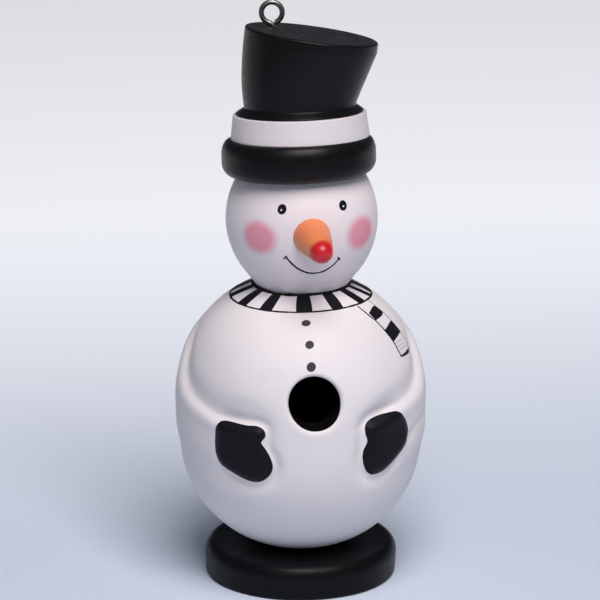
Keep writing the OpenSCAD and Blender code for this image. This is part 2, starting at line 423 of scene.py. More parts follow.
def on_surface(surface, theta, z, lift):
    """Points at a height over a surface, along its normal, and those normals."""
    step = 0.08
    along = surface(theta + step, z) - surface(theta - step, z)
    up = surface(theta, z + step) - surface(theta, z - step)
    normal = np.cross(along, up)
    normal /= np.linalg.norm(normal, axis=-1, keepdims=True)
    return surface(theta, z) + normal * np.asarray(lift)[..., None], normal


# ---------------- body halves

DARK_RIM_RINGS = 4     # of the hole's rounding, under the black paint
WHITE_RIM_RINGS = 8
BORE_RINGS = 4
RIM_MARGIN = 4         # a belt around the rounding where the rings stay round
BOTTOM, RIGHT, TOP, LEFT = range(4)


def profile_table():
    """Heights along the body's side, and the length along the side from the foot to each."""
    heights = 800
    z = np.linspace(BODY_FOOT_Z, NECK_Z, heights)
    r = round_radius(z, BODY_R, BODY_RISE, BODY_Z, BODY_FULLNESS)
    length = np.concatenate([[0], np.cumsum(np.hypot(np.diff(z), np.diff(r)))])
    return z, length


def on_cavity(toward):
    """Points on the nest cavity's wall, in the given directions from its middle."""
    toward = toward / np.linalg.norm(toward, axis=-1, keepdims=True)
    across, upwards = np.hypot(toward[..., 0], toward[..., 1]), np.abs(toward[..., 2])
    outside = 70.0

    def is_in_cavity(distance):
        return (distance * across / CAVITY_R) ** 2 + (distance * upwards / CAVITY_RISE) ** CAVITY_FULLNESS < 1

    distance = farthest(np.zeros(across.shape), np.full(across.shape, outside), is_in_cavity, 40)
    return toward * distance[..., None] + np.array([0, 0, CAVITY_Z])


def half_edge(ends, sides, length):
    """The edge of one half of the body as (angle, length along the side), and which part each place is in."""
    edge = [(-90 + 180 * k / ends, 0) for k in range(ends)]
    edge += [(90, length * k / sides) for k in range(sides)]
    edge += [(90 - 180 * k / ends, length) for k in range(ends)]
    edge += [(-90, length - length * k / sides) for k in range(sides)]
    return np.array(edge), np.repeat([BOTTOM, RIGHT, TOP, LEFT], [ends, sides, ends, sides])


def cavity_edge(edge, part, length, front):
    """Where the nest cavity's wall meets the seam and the clean-out opening, for each place of the edge."""
    flip, turn = (1, 0) if front else (-1, 180)
    theta, along = edge.T
    mouth_z = CAVITY_Z - CAVITY_RISE * (1 - (OPENING_R / CAVITY_R) ** 2) ** (1 / CAVITY_FULLNESS)
    low_angle = math.degrees(math.atan2(OPENING_R, CAVITY_Z - mouth_z))
    high_angle = 160
    swing = np.zeros(len(edge))
    swing[part == RIGHT] = low_angle + (high_angle - low_angle) * along[part == RIGHT] / length
    swing[part == TOP] = high_angle + (360 - 2 * high_angle) * (90 - theta[part == TOP]) / 180
    swing[part == LEFT] = 360 - low_angle - (high_angle - low_angle) * along[part == LEFT] / length
    swing = np.radians(swing)
    places = on_cavity(np.column_stack([flip * np.sin(swing), 0 * swing, -np.cos(swing)]))
    places[part == BOTTOM] = around(theta[part == BOTTOM] + turn, OPENING_R, mouth_z)
    return places


def half_body(front, ends, sides, outer_rings, cavity_rings):
    """One half of the hollow body, as rings that run from the cavity through the entrance hole (on the
    front half), over the outside to the seam, and along the cavity's wall back to where they started.
    Returns the shape and which of its faces are inside."""
    flip, turn = (1, 0) if front else (-1, 180)
    z_table, s_table = profile_table()
    edge, part = half_edge(ends, sides, s_table[-1])
    ray = np.arctan2(np.radians(edge[:, 0]) * BODY_R, edge[:, 1] - np.interp(HOLE_Z, z_table, s_table))

    def hole_place(rho):
        """(angle, length) at a distance rho from the entrance hole's axis, along each ray."""
        x, z = rho * np.sin(ray), HOLE_Z + rho * np.cos(ray)
        r = round_radius(z, BODY_R, BODY_RISE, BODY_Z, BODY_FULLNESS)
        return np.column_stack([np.degrees(np.arcsin(x / r)), np.interp(z, z_table, s_table)])

    rim = HOLE_RIM + HOLE_RIM_MORE * np.clip(np.cos(ray - math.radians(135)), 0, 1)
    near = hole_place(HOLE_R + rim + RIM_MARGIN if front else 0)
    places = [near + (edge - near) * k / outer_rings for k in range(outer_rings + 1)]
    rim_rings = []
    if front:
        # The bore's black paint reaches out over the rounding, most of all at the bottom and the right, and
        # a little unevenly. The amounts are degrees of the rounding's quarter turn.
        down, right = np.clip(-np.cos(ray), 0, 1), np.clip(np.sin(ray), 0, 1)
        everywhere, at_bottom, at_right, ragged = 10, 40, 22, 3
        painted = np.radians(everywhere + at_bottom * down ** 1.5 + at_right * right ** 2
                             + ragged * np.sin(3 * ray + 1))
        rim_rings += [painted * share for share in np.linspace(0, 1, DARK_RIM_RINGS, endpoint=False)]
        rim_rings += [painted + (math.pi / 2 - painted) * share
                      for share in np.linspace(0, 1, WHITE_RIM_RINGS)]
        belt = [hole_place(HOLE_R + rim + extra) for extra in range(1, RIM_MARGIN)]
        places = [hole_place(HOLE_R + rim * (1 - np.cos(t))) for t in rim_rings] + belt + places
    places = np.array(places)
    outer = body_surface(places[..., 0] + turn, np.interp(places[..., 1], s_table, z_table))
    for ring, t in zip(outer, rim_rings):
        ring[:, 1] += rim * (1 - np.sin(t))
    outer[-1, (part == RIGHT) | (part == LEFT), 1] = 0

    # Across the seam: the bottom ring, the wall's cut face and the neck's flat top
    flat = outer[-1].copy()
    flat[part == BOTTOM] = around(edge[part == BOTTOM, 0] + turn, OPENING_R, BODY_FOOT_Z)
    flat[part == TOP, 1] = 0
    first_right = ends
    flat[first_right] = (flip * OPENING_R, 0, BODY_FOOT_Z)
    inner_edge = cavity_edge(edge, part, s_table[-1], front)

    middle = np.array([0, 0, CAVITY_Z])
    if front:
        x, z = HOLE_R * np.sin(ray), HOLE_Z + HOLE_R * np.cos(ray)
        r = round_radius(z, CAVITY_R, CAVITY_RISE, CAVITY_Z, CAVITY_FULLNESS)
        start = np.column_stack([x, -np.sqrt(r**2 - x**2), z])
    else:
        closing_point = on_cavity(np.array([[0, 1.0, 0.3]]))
        start = np.tile(closing_point, (len(edge), 1))
    toward_start, toward_edge = start - middle, inner_edge - middle
    cavity = [on_cavity(toward_edge + (toward_start - toward_edge) * k / cavity_rings)
              for k in range(1, cavity_rings)]
    bore = [start + (outer[0] - start) * k / BORE_RINGS for k in range(BORE_RINGS)] if front else []
    rings = bore + list(outer) + [flat, inner_edge] + cavity
    if not front:
        rings.append(start)
    shape = loft(rings, closed=front)
    # Faces that take the near-black colour: the bore and the rim's black rings, which are paint, and the
    # cavity, where it is painted shade.
    row = np.arange(len(shape[1])) // len(edge)
    first_cavity = len(bore) + len(outer) + 1
    dark_rings = len(bore) + DARK_RIM_RINGS if front else 0
    return shape, (row < dark_rings) | (row >= first_cavity)


# ---------------- head, nose and hat

def head_shape():
    """The head, with its flat foot and top and the bores for its two dowels."""
    columns, rows, closer_rows = 320, 120, 1.2
    theta = all_round(columns)
    hat = np.array(HAT_FRAME)
    plane_normal, plane_point = hat[:3, 2], hat[:3, 3]

    def is_below_hat(z):
        place = around(theta, round_radius(z, HEAD_R, HEAD_RISE, HEAD_Z, 2), z) + (HEAD_SIDE, 0, 0)
        return (place - plane_point) @ plane_normal <= 0

    near_top = HEAD_Z + HEAD_RISE - 0.5
    rim_z = farthest(np.full(columns, float(HEAD_Z)), np.full(columns, near_top), is_below_hat, 30)
    foot_edge, neck_bore_z, hat_bore_z = 0.7, 194, -20
    rings = [around(theta, r, z) for r, z in ((0, neck_bore_z), (DOWEL_R, neck_bore_z), (DOWEL_R, NECK_Z))]
    rings.append(around(theta, NECK_R - foot_edge, NECK_Z) + (HEAD_SIDE, 0, 0))
    foot_z = NECK_Z + foot_edge
    for k in range(rows + 1):
        share = math.sin(math.pi / 2 * k / rows) ** closer_rows
        rings.append(head_surface(theta, foot_z + (rim_z - foot_z) * share))
    rings += [moved(around(theta, r, z), HAT_FRAME)
              for r, z in ((DOWEL_R, 0), (DOWEL_R, hat_bore_z), (0, hat_bore_z))]
    return loft(rings)


def nose_shape():
    """The carrot and its peg: a slightly swelling cone with a round tip."""
    slope = math.asin((NOSE_ROOT_R - NOSE_TIP_R) / NOSE_TIP_Z)
    peg = [(0, -NOSE_PEG_LEN), (NOSE_PEG_R, -NOSE_PEG_LEN), (NOSE_PEG_R, 0)]
    outline = peg + [(NOSE_ROOT_R, 0)]
    tip_start = (NOSE_TIP_R * math.cos(slope), NOSE_TIP_Z + NOSE_TIP_R * math.sin(slope))
    side_rows, tip_rows, most_swell = 30, 22, 0.25
    for k in range(1, side_rows):
        share = k / side_rows
        swell = most_swell * math.sin(math.pi * share)
        outline.append((NOSE_ROOT_R + (tip_start[0] - NOSE_ROOT_R) * share + swell, tip_start[1] * share))
    for a in np.linspace(slope, math.pi / 2, tip_rows):
        outline.append((NOSE_TIP_R * math.cos(a), NOSE_TIP_Z + NOSE_TIP_R * math.sin(a)))
    rings = turned(outline, 96)
    carrot = rings[len(peg):]
    carrot[..., :2] *= (1 + unevenness(carrot, 9, 0.02))[..., None]
    return moved_shape(loft(rings), NOSE_FRAME)


def uneven_rings(rings, size, amount, keep_inside=DOWEL_R + 1):
    """Rings with their outside pushed a little in and out, away from the bore."""
    r = np.hypot(rings[..., 0], rings[..., 1])
    push = unevenness(rings, size, amount) - amount / 2
    push = np.where(r > keep_inside, push, 0)
    rings[..., :2] *= (1 + push / np.maximum(r, 1))[..., None]
    return rings


def disc_outline(start, low, low_edge, top, top_edge, end, steps):
    """Outline of a turned disc: from start outwards, round its lower corner at low, up and round its upper
    corner at top, and inwards to end. An edge is how far a rounding reaches inwards and up or down. steps
    are the number of steps on each of the five stretches."""
    low_in = (low[0] - low_edge[0], low[1] + low_edge[1])
    top_in = (top[0] - top_edge[0], top[1] - top_edge[1])
    outline = [start] + straight(start, (low_in[0], low[1]), steps[0])
    outline += corner(low_in, low, -90, 0, steps[1])
    outline += straight((low[0], low_in[1]), (top[0], top_in[1]), steps[2])
    outline += corner(top_in, top, 0, 90, steps[3])
    return outline + straight((top_in[0], top[1]), end, steps[4]) + [end]


def brim_shape():
    """The brim: a thick disc, rounder below than above."""
    outline = disc_outline((DOWEL_R, 0), (BRIM_R, 0), (8, 8), (BRIM_R, BRIM_H), (4.8, 8.5), (DOWEL_R, BRIM_H),
                           (12, 14, 6, 14, 12))
    return moved_shape(loft(uneven_rings(turned(outline, 256), 24, 0.3), closed=True), HAT_FRAME)


def band_shape():
    """The white band: a low cone with a softened upper edge."""
    top = BRIM_H + BAND_H
    outline = disc_outline((DOWEL_R, BRIM_H), (BAND_R, BRIM_H), (0.3, 0.3), (BAND_TOP_R, top), (0.7, 0.7),
                           (DOWEL_R, top), (10, 4, 14, 6, 10))
    rings = uneven_rings(turned(outline, 256), 20, 0.25)
    rings[np.hypot(rings[..., 0], rings[..., 1]) > DOWEL_R + 1, 0] += BAND_SIDE
    return moved_shape(loft(rings, closed=True), HAT_FRAME)


def crown_shape():
    """The crown: a sloped ledge on the band, a side that leans out to the right, and a slanted flat top."""
    theta = all_round(256)
    bore_end, ledge_z, ledge_edge = 52, BRIM_H + BAND_H, 0.6
    rings = [around(theta, 0, bore_end), around(theta, DOWEL_R, bore_end), around(theta, DOWEL_R, ledge_z)]
    bore_rings = len(rings)
    ledge_side = np.array([BAND_SIDE, 0, 0])
    rings.append(around(theta, LEDGE_R - ledge_edge, ledge_z) + ledge_side)
    ledge = corner((LEDGE_R - ledge_edge, ledge_z + ledge_edge), (LEDGE_R, ledge_z), -60, 50, 4)
    rings += [around(theta, r, z) + ledge_side for r, z in ledge]
    foot = around(theta, CROWN_R, ledge_z + LEDGE_H) + (CROWN_FOOT_SIDE, 0, 0)
    rings += [rings[-1] + (foot - rings[-1]) * share for share in (0.25, 0.5, 0.75, 0.93)]
    low_rim = moved(around(theta, CROWN_TOP_R, -CROWN_TOP_THICK), CROWN_TOP_FRAME)
    outward = around(theta, 1, 0)
    side_rows, mean_swell, left_swell = 60, 0.55, 0.75
    for t in np.linspace(0.01, 1, side_rows):
        swell = 4 * t * (1 - t) * (mean_swell - left_swell * outward[:, 0])
        rings.append(foot + (low_rim - foot) * t + outward * swell[:, None])
    edge, rim_rows = 1.2, 4
    top = [(CROWN_TOP_R, -CROWN_TOP_THICK + (CROWN_TOP_THICK - edge) * k / rim_rows)
           for k in range(1, rim_rows + 1)]
    top += corner((CROWN_TOP_R - edge, -edge), (CROWN_TOP_R, 0), 10, 90, 6)
    top += [(CROWN_TOP_R * share, 0) for share in np.linspace(0.96, 0, 18)]
    rings += [moved(around(theta, r, z), CROWN_TOP_FRAME) for r, z in top]
    rings = np.array(rings)
    first_free = bore_rings + 1
    rings[first_free:-1] = uneven_rings(rings[first_free:-1], 22, 0.25)
    return moved_shape(loft(rings), HAT_FRAME)


def base_shape():
    """The base disc, with its pivot bore and the recess for the screw's head."""
    outline = disc_outline((RECESS_R, 0), (BASE_R - BASE_TAPER, 0), (2, 2), (BASE_R, BASE_H), (6.2, 8),
                           (PIVOT_R, BASE_H), (16, 8, 10, 18, 24))
    outline += [(PIVOT_R, RECESS_H), (RECESS_R, RECESS_H)]
    return loft(uneven_rings(turned(outline, 320), 30, 0.3, RECESS_R + 1), closed=True)


def wire_shape(path, radius):
    """A round wire along a path in the XZ plane, pointed at its start and cut flat at its end."""
    sides, taper_rings, point, end_edge = 20, 10, 0.15, 0.93
    path = np.array(path, float)
    along = np.gradient(path, axis=0)
    along /= np.linalg.norm(along, axis=1, keepdims=True)
    across = np.column_stack([along[:, 1], -along[:, 0]])
    turns = np.radians(np.arange(sides) * 360 / sides)
    radii = np.full(len(path), radius)
    radii[:taper_rings] = radius * np.linspace(point, 1, taper_rings)
    radii[-1] = radius * end_edge
    rings = []
    for place, out, r in zip(path, across, radii):
        u = place[0] + out[0] * np.cos(turns) * r
        w = place[1] + out[1] * np.cos(turns) * r
        rings.append(np.column_stack([u, np.sin(turns) * r, w]))
    start, end = [np.tile([place[0], 0, place[1]], (sides, 1)) for place in (path[0], path[-1])]
    return loft([start] + rings + [end])


def screw_eye_shape():
    """The shank bends to the left into the ring, which ends against the shank."""
    shank_side, shank_top = 0.8, -RING_R - 2.4
    foot = np.array((shank_side, shank_top))
    path = [(shank_side, z) for z in np.linspace(-RING_R - SHANK_LEN, shank_top, 40, endpoint=False)]
    start, end = math.radians(-122), math.radians(-73 - 360)
    joint = RING_R * np.array((math.cos(start), math.sin(start)))
    pull = 1.7             # of the curve that joins the shank and the ring
    rise = foot + (0, pull)
    reach = joint - pull * np.array((math.sin(start), -math.cos(start)))
    for t in np.linspace(0, 1, 12, endpoint=False):
        u = 1 - t
        path.append(u**3 * foot + 3 * u * u * t * rise + 3 * u * t * t * reach + t**3 * joint)
    for a in np.linspace(start, end, 90):
        path.append((RING_R * math.cos(a), RING_R * math.sin(a)))
    return moved_shape(wire_shape(path, WIRE_R), EYE_FRAME)


# ---------------- paint marks

def inside_outline(flat, outline):
    """Which flat points lie inside a closed outline."""
    odd = np.zeros(len(flat), bool)
    for a, b in zip(outline, np.roll(outline, -1, 0)):
        crosses = (a[1] > flat[:, 1]) != (b[1] > flat[:, 1])
        x = a[0] + (flat[:, 1] - a[1]) * (b[0] - a[0]) / (b[1] - a[1] if b[1] != a[1] else 1)
        odd ^= crosses & (flat[:, 0] < x)
    return odd


def paint_patch(outline, surface, radius, spacing=1.0):
    """A thin closed shell of paint over a closed outline of (angle, height)."""
    outline = np.array(outline, float)
    flat = flat_place(outline[:, 0], outline[:, 1], radius)
    low, high = flat.min(0), flat.max(0)
    grid = np.stack(np.meshgrid(*[np.arange(a, b, spacing) for a, b in zip(low, high)]), -1).reshape(-1, 2)
    grid = grid[inside_outline(grid, flat)]
    clear_of_edge = 0.45 * spacing
    if len(grid):
        grid = grid[np.abs(line_distance(grid, flat, True)) > clear_of_edge]
    places = [Vector(p) for p in np.vstack([flat, grid])]
    inside_only, same_place = 1, 1e-5
    got = delaunay_2d_cdt(places, [], [list(range(len(flat)))], inside_only, same_place)
    flat_points, faces = np.array([tuple(p) for p in got[0]]), [list(f) for f in got[2]]
    theta, z = np.degrees(flat_points[:, 0] / radius), flat_points[:, 1]
    top, _ = on_surface(surface, theta, z, np.full(len(z), PAINT_PROUD))
    bottom, _ = on_surface(surface, theta, z, np.full(len(z), -PAINT_DEPTH))
    edges = dict.fromkeys((a, b) for f in faces for a, b in zip(f, f[1:] + f[:1]))
    walls = [[b, a, a + len(z), b + len(z)] for a, b in edges if (b, a) not in edges]
    below = [[i + len(z) for i in reversed(f)] for f in faces]
    return np.vstack([top, bottom]), faces + below + walls


def paint_line(points, surface, width, steps=8, closed=False):
    """A brushed line of paint: a low rounded ridge along (angle, height) points, with uneven width."""
    wobble_size, wobble = 3.5, 0.3
    line = smooth_line(points, steps, closed)
    middle, normal = on_surface(surface, line[:, 0], line[:, 1], np.zeros(len(line)))
    along = np.roll(middle, -1, 0) - np.roll(middle, 1, 0) if closed else np.gradient(middle, axis=0)
    along /= np.linalg.norm(along, axis=1, keepdims=True)
    across = np.cross(normal, along)
    half = 0.5 * width * (1 + unevenness(middle, wobble_size, wobble))
    edge_lift = 0.02
    section = [(-1, -PAINT_DEPTH), (-1, edge_lift), (-0.7, PAINT_PROUD), (0, PAINT_PROUD + edge_lift),
               (0.7, PAINT_PROUD), (1, edge_lift), (1, -PAINT_DEPTH)]
    rings = np.array([[m + a * h * u + n * w for u, w in section]
                      for m, a, n, h in zip(middle, across, normal, half)])
    if closed:
        return loft(rings, closed=True)
    start, end = [np.tile(ring.mean(0), (len(section), 1)) for ring in (rings[0], rings[-1])]
    return loft(np.concatenate([[start], rings, [end]]))


def oval(theta, z, width, height, radius, lean=0, steps=28):
    """Outline of a small painted oval, in (angle, height)."""
    t = np.radians(np.arange(steps) * 360 / steps)
    across = np.degrees((width / 2 * np.cos(t) + lean * np.sin(t)) / radius)
    return np.column_stack([theta + across, z + height / 2 * np.sin(t)])


SCARF_TOP_Z = 173.7
SCARF_LOW_Z = 167
SCARF_R = 33
# Stripes that were seen: left and right angle at the top, left and right angle at the bottom
FRONT_STRIPES = [(-86, -76.5, -94, -85), (-66.5, -55.5, -67.5, -56.5), (-40, -29, -41.5, -30.5),
                 (-10.5, 3.5, -10, 3), (19, 32.5, 20.5, 30.5), (45, 56, 50, 59), (64.5, 72, 72.5, 79.5)]
BACK_STRIPES = 7


def stripe(top_left, top_right, bottom_left, bottom_right):
    """A scarf stripe with slightly bowed brushed sides."""
    left_bow, right_bow = 0.6, 0.3
    t = np.linspace(0, 1, 7)
    left = top_left + (bottom_left - top_left) * t - left_bow * np.sin(math.pi * t)
    right = top_right + (bottom_right - top_right) * t + right_bow * np.sin(math.pi * t)
    z = SCARF_TOP_Z + (SCARF_LOW_Z - SCARF_TOP_Z) * t
    across = np.linspace(0, 1, 6)[1:-1]
    top = np.column_stack([right[0] + (left[0] - right[0]) * across, np.full(len(across), SCARF_TOP_Z)])
    bottom = np.column_stack([left[-1] + (right[-1] - left[-1]) * across, np.full(len(across), SCARF_LOW_Z)])
    outline = np.vstack([np.column_stack([left, z]), bottom, np.column_stack([right, z])[::-1], top])
    return paint_patch(outline, body_surface, SCARF_R, 0.8)


def scarf_stripes():
    """The stripes that were seen, and evenly spaced ones round the back."""
    stripes = list(FRONT_STRIPES)
    first, last = FRONT_STRIPES[-1][1], FRONT_STRIPES[0][0] + 360
    gap, black_share = (last - first) / (BACK_STRIPES + 0.5), 0.47
    for k in range(BACK_STRIPES):
        left = first + gap * (k + 0.5)
        right = left + gap * black_share
        stripes.append((left, right, left - 1, right + 1))
    return joined([stripe(*places) for places in stripes])


def scarf_lines():
    """The lines along the scarf's upper and lower edge, a little wavy."""
    turn = np.arange(-180, 180, 6)
    neck = np.column_stack([turn, SCARF_TOP_Z - 0.05 + 0.12 * np.sin(np.radians(3 * turn))])
    low = np.column_stack([turn, SCARF_LOW_Z + 0.25 * np.sin(np.radians(2 * turn + 40))])
    return joined([paint_line(neck, body_surface, 2.3, 4, True), paint_line(low, body_surface, 1.2, 4, True)])


TAIL_LEFT = [(45, 166.6), (48, 161.8), (50.6, 158.2), (52.6, 153), (54.6, 146.6), (55.3, 142), (55.8, 138.7)]
TAIL_RIGHT = [(63.6, 166.4), (64.6, 162.5), (66, 158.5), (66.9, 154.5), (68.3, 149), (69.2, 144.5),
              (69.4, 140.5), (69.2, 138.6)]
TAIL_BANDS = [
    [(63.2, 164), (65.4, 160), (61.5, 159.3), (57.2, 159), (50.8, 158.6), (49.6, 162.4), (54, 163.2),
     (58.5, 163.9)],
    [(66.6, 155.4), (67.5, 151.8), (68.1, 148.5), (62, 147.8), (56.5, 146.9), (54.7, 146.6), (53.7, 150),
     (52.5, 153.2), (57, 154), (62, 154.9)],
]
TAIL_END = [(55.3, 138.9), (58.5, 138.7), (62, 138.9), (65.5, 139.3), (68.4, 139.1), (69, 138.3), (68, 137.4),
            (65, 137.1), (61, 137.3), (57, 137.6), (55.2, 138)]


def scarf_tail():
    """The scarf's hanging end: two lines, two black bands, a thick brushed end and a few dots."""
    shapes = [paint_patch(band, body_surface, BODY_R * 0.8, 0.8) for band in TAIL_BANDS]
    shapes.append(paint_line(TAIL_LEFT, body_surface, 1.1))
    shapes.append(paint_line(TAIL_RIGHT, body_surface, 0.45))
    shapes.append(paint_patch(TAIL_END, body_surface, BODY_R * 0.9, 0.8))
    dot_size, dot_r, across, down = 0.75, 64, 2.9, 1.9
    for row in range(3):
        for column in range(3):
            place = (58.3 + across * column - 0.4 * row, 141.6 + down * row)
            dot = oval(*place, dot_size, dot_size, dot_r, steps=10)
            shapes.append(paint_patch(dot, body_surface, dot_r))
    return joined(shapes)


def buttons():
    """Three ovals down the front, as (angle, height, width, tallness, body radius there)."""
    places = [(-2.8, 162.5, 5.0, 2.7, 45), (-1.4, 152.6, 4.9, 3.9, 56), (-1.1, 141.7, 5.1, 4.9, 62)]
    return joined([paint_patch(oval(theta, z, wide, tall, r, 0.2), body_surface, r, 0.8)
                   for theta, z, wide, tall, r in places])


# Each eye's angle and height, and the angle from there to its white dot
EYES = [(-22.1, 226.6, -0.5), (27.9, 227.3, 0.15)]
EYE_PLACE_R = 40


def painted_eyes():
    """The two black eyes."""
    return joined([paint_patch(oval(theta, z, 5.0, 5.5, EYE_PLACE_R, 0.15), head_surface, EYE_PLACE_R, 0.7)
                   for theta, z, _ in EYES])


def eye_lights():
    """A small dot of white paint on each eye."""
    return joined([paint_patch(oval(theta + side, z - 0.4, 1.0, 1.0, EYE_PLACE_R, steps=12), lifted_head,
                               EYE_PLACE_R, 0.5) for theta, z, side in EYES])


def lifted_head(theta, z):
    """The head's surface under the white dots, which lie on the black of the eyes."""
    points = head_surface(theta, z)
    outward = points * np.array([1, 1, 0])
    return points + outward / np.linalg.norm(outward, axis=-1, keepdims=True) * PAINT_PROUD


def smile():
    """The mouth's line and the two ticks at its ends."""
    line = [(-18.5, 199), (-16.1, 196.7), (-13.5, 194.6), (-10.1, 192.4), (-6.2, 190.7), (-1.8, 189.4),
            (2.7, 188.9), (7.5, 189), (11.9, 189.7), (15.8, 191), (19.2, 192.7), (22.1, 194.8), (24.3, 196.9)]
    ticks = [[(-20.6, 197.9), (-19.5, 199.1), (-18.0, 199.9)], [(22.7, 197.8), (24.2, 197.2), (25.5, 195.9)]]
    shapes = [paint_line(line, head_surface, 1.15, 5)]
    shapes += [paint_line(tick, head_surface, 0.95, 5) for tick in ticks]
    return joined(shapes)


# ---------------- materials

def opaque(colour):
    """A colour with its alpha; an output stays as it is."""
    return colour if hasattr(colour, "links") else (*colour, 1)


class Shader:
    """A node material with a few shorthands. An input is given by its name or number, and is a value or
    another node's output."""

    def __init__(self, name):
        self.material = bpy.data.materials.new(name)
        self.material.use_nodes = True
        self.surface = self.material.node_tree.nodes["Principled BSDF"]
        self.place = self.node("ShaderNodeTexCoord", {}).outputs["Object"]

    def feed(self, node, inputs):
        """Set or link a node's inputs."""
        for key, value in inputs.items():
            if hasattr(value, "links"):
                self.material.node_tree.links.new(value, node.inputs[key])
            else:
                node.inputs[key].default_value = value

    def node(self, kind, inputs, **settings):
        """A new node."""
        made = self.material.node_tree.nodes.new(kind)
        for key, value in settings.items():
            setattr(made, key, value)
        self.feed(made, inputs)
        return made

    def texture(self, kind, scale, stretch, turn, inputs):
        """A texture node whose scale is in features for each metre, stretched and turned."""
        turn = [math.radians(a) for a in turn]
        mapping = self.node("ShaderNodeMapping", {"Vector": self.place, "Scale": stretch, "Rotation": turn})
        return self.node(kind, {"Vector": mapping.outputs["Vector"], "Scale": scale, **inputs})

    def noise(self, scale, stretch=(1, 1, 1), **inputs):
        """Noise, from about 0.3 to 0.7."""
        return self.texture("ShaderNodeTexNoise", scale, stretch, (0, 0, 0), inputs).outputs[0]

    def waves(self, scale, stretch, turn=(0, 0, 0), **inputs):
        """Wood grain's waves, from 0 to 1."""
        return self.texture("ShaderNodeTexWave", scale, stretch, turn, inputs).outputs[1]

    def ranged(self, value, low, high, from_low=0.3, from_high=0.7, kind="LINEAR"):
        """A value taken from one range to another."""
        inputs = {"Value": value, "From Min": from_low, "From Max": from_high, "To Min": low, "To Max": high}
        return self.node("ShaderNodeMapRange", inputs, interpolation_type=kind).outputs["Result"]

    def mixed(self, factor, a, b):
        """Two colours mixed by a factor; a and b are colours or outputs."""
        inputs = {0: factor, 6: opaque(a), 7: opaque(b)}
        return self.node("ShaderNodeMix", inputs, data_type="RGBA").outputs[2]

    def sum(self, a, b, share):
        """a plus share times b."""
        return self.node("ShaderNodeMath", {0: b, 1: share, 2: a}, operation="MULTIPLY_ADD").outputs[0]

    def vector_math(self, operation, value, other=(0, 0, 0)):
        """The outputs of a vector operation."""
        return self.node("ShaderNodeVectorMath", {0: value, 1: other}, operation=operation).outputs

    def near(self, centre, inner, outer):
        """1 within the inner distance of a point in millimetres, 0 past the outer one, soft between."""
        flatness = 1.17        # how much more the distance counts upwards
        away = self.vector_math("SUBTRACT", self.place, [c * MM for c in centre])["Vector"]
        stretched = self.vector_math("MULTIPLY", away, (1, 1, flatness))["Vector"]
        length = self.vector_math("LENGTH", stretched)["Value"]
        return self.ranged(length, 1, 0, inner * MM, outer * MM, "SMOOTHSTEP")

    def bump(self, height, depth):
        """Surface relief of the given depth in millimetres."""
        made = self.node("ShaderNodeBump", {"Height": height, "Distance": depth * MM, "Strength": 1.0})
        self.feed(self.surface, {"Normal": made.outputs["Normal"]})

    def finish(self, colour, roughness):
        """The material, with its colour and roughness."""
        self.feed(self.surface, {"Base Color": opaque(colour), "Roughness": roughness})
        return self.material


def painted_wood(name, colour, shade, roughness, streaks=(1, 1, 6), streaky=0.12, depth=0.02, gloss=0.5,
                 spots=()):
    """Brushed paint over sanded wood: slow colour changes, brush streaks, grain that shows through as relief.
    streaky is the strength of the streaks. spots are (centre, inner, outer, colour, strength) soft dabs of
    another paint."""
    s = Shader(name)
    slow = s.noise(28, Detail=2.0, Roughness=0.5)
    brush = s.noise(150, streaks, Detail=3.0, Roughness=0.6)
    fine = s.noise(900, Detail=2.0, Roughness=0.6)
    grain = s.waves(55, (1, 1, 0.12), (0, 7, 0), Distortion=5.0, Detail=2.0)
    made = s.mixed(s.ranged(slow, 0, 1), colour, shade)
    darker = tuple(c * 0.9 for c in colour)
    made = s.mixed(s.ranged(brush, 0, streaky, 0.4, 0.75), made, darker)
    for centre, inner, outer, spot_colour, strength in spots:
        inputs = {0: s.near(centre, inner, outer), 1: s.ranged(slow, 0.88 * strength, strength)}
        patchy = s.node("ShaderNodeMath", inputs, operation="MULTIPLY").outputs[0]
        made = s.mixed(patchy, made, spot_colour)
    height = s.sum(s.sum(brush, fine, 0.25), grain, 0.5)
    s.bump(height, depth)
    s.feed(s.surface, {"IOR": 1.45, "Specular IOR Level": gloss})
    return s.finish(made, s.ranged(brush, roughness - 0.06, roughness + 0.1))


def nose_paint():
    """Orange paint that turns to red at the carrot's tip."""
    s = Shader("carrot_paint")
    into = np.array(NOSE_FRAME)
    axis, root = into[:3, 2], into[:3, 3]
    along = s.vector_math("DOT_PRODUCT", s.place, axis)["Value"]
    brush = s.noise(260, (1, 1, 4), Detail=3.0)
    fine = s.noise(1100, Detail=2.0)
    slow = s.noise(70, Detail=2.0)
    raggedness = 2.2
    uneven = s.sum(along, slow, raggedness * MM)
    root_place = float(root @ axis) + raggedness / 2
    start, end = NOSE_TIP_Z - 3.2, NOSE_TIP_Z + 0.8
    red_share = s.ranged(uneven, 0, 1, (root_place + start) * MM, (root_place + end) * MM, "SMOOTHSTEP")
    orange = s.mixed(s.ranged(slow, 0, 1), (0.84, 0.27, 0.115), (0.76, 0.21, 0.075))
    orange = s.mixed(s.ranged(brush, 0, 0.15, 0.4, 0.75), orange, (0.86, 0.34, 0.17))
    red = s.mixed(s.ranged(slow, 0, 1), (0.66, 0.018, 0.026), (0.56, 0.010, 0.018))
    s.bump(s.sum(brush, fine, 0.3), 0.015)
    return s.finish(s.mixed(red_share, orange, red), s.ranged(brush, 0.27, 0.4))


def bare_wood(name, axis):
    """Turned softwood with growth rings along an axis."""
    s = Shader(name)
    stretch = [1.0, 1.0, 1.0]
    stretch["XYZ".index(axis)] = 0.08
    rings = s.waves(130, stretch, Distortion=3.0, Detail=3.0)
    fibre = s.noise(1500, stretch, Detail=3.0)
    colour = s.mixed(s.ranged(rings, 0, 1, 0.2, 0.8), (0.62, 0.42, 0.22), (0.46, 0.27, 0.12))
    colour = s.mixed(s.ranged(fibre, 0, 0.5), colour, (0.36, 0.2, 0.09))
    s.bump(s.sum(fibre, rings, 0.4), 0.08)
    return s.finish(colour, s.ranged(fibre, 0.55, 0.72))


